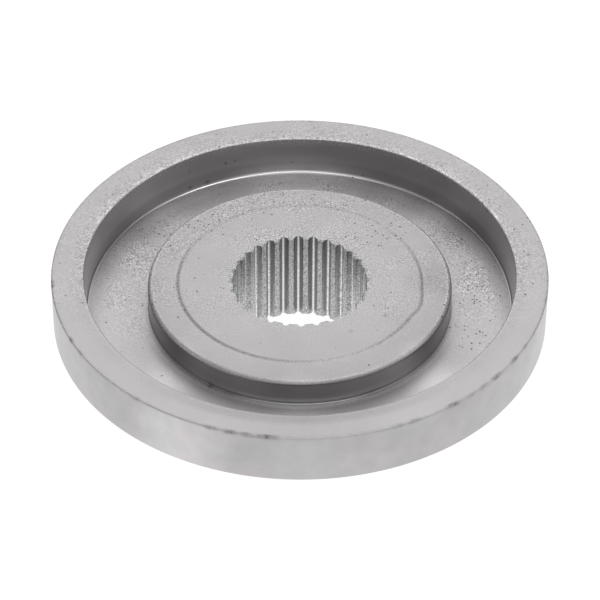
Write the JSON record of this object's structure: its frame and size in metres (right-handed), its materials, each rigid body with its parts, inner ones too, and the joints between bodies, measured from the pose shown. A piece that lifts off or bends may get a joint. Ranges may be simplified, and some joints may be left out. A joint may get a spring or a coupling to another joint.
{
  "type": "mower blade adapter",
  "caption": "Round dished steel flange with a raised inner face, a splined bore and a pilot hub, which carries a mower blade on its spindle.",
  "frame": {"origin": "on the spindle axis, at the end face of the pilot hub, which the part stands on", "axes": "+Z along the spindle axis, from the blade side towards the dished side; X and Y are any two directions across the round flange"},
  "size_m": [0.105, 0.105, 0.0246],
  "materials": {
    "sintered_steel": "bare pressed and sintered steel, matte light grey, with fine grain and small pits"
  },
  "bodies": {
    "root": {"blade_adapter": "sintered_steel"}
  },
  "joints": []
}
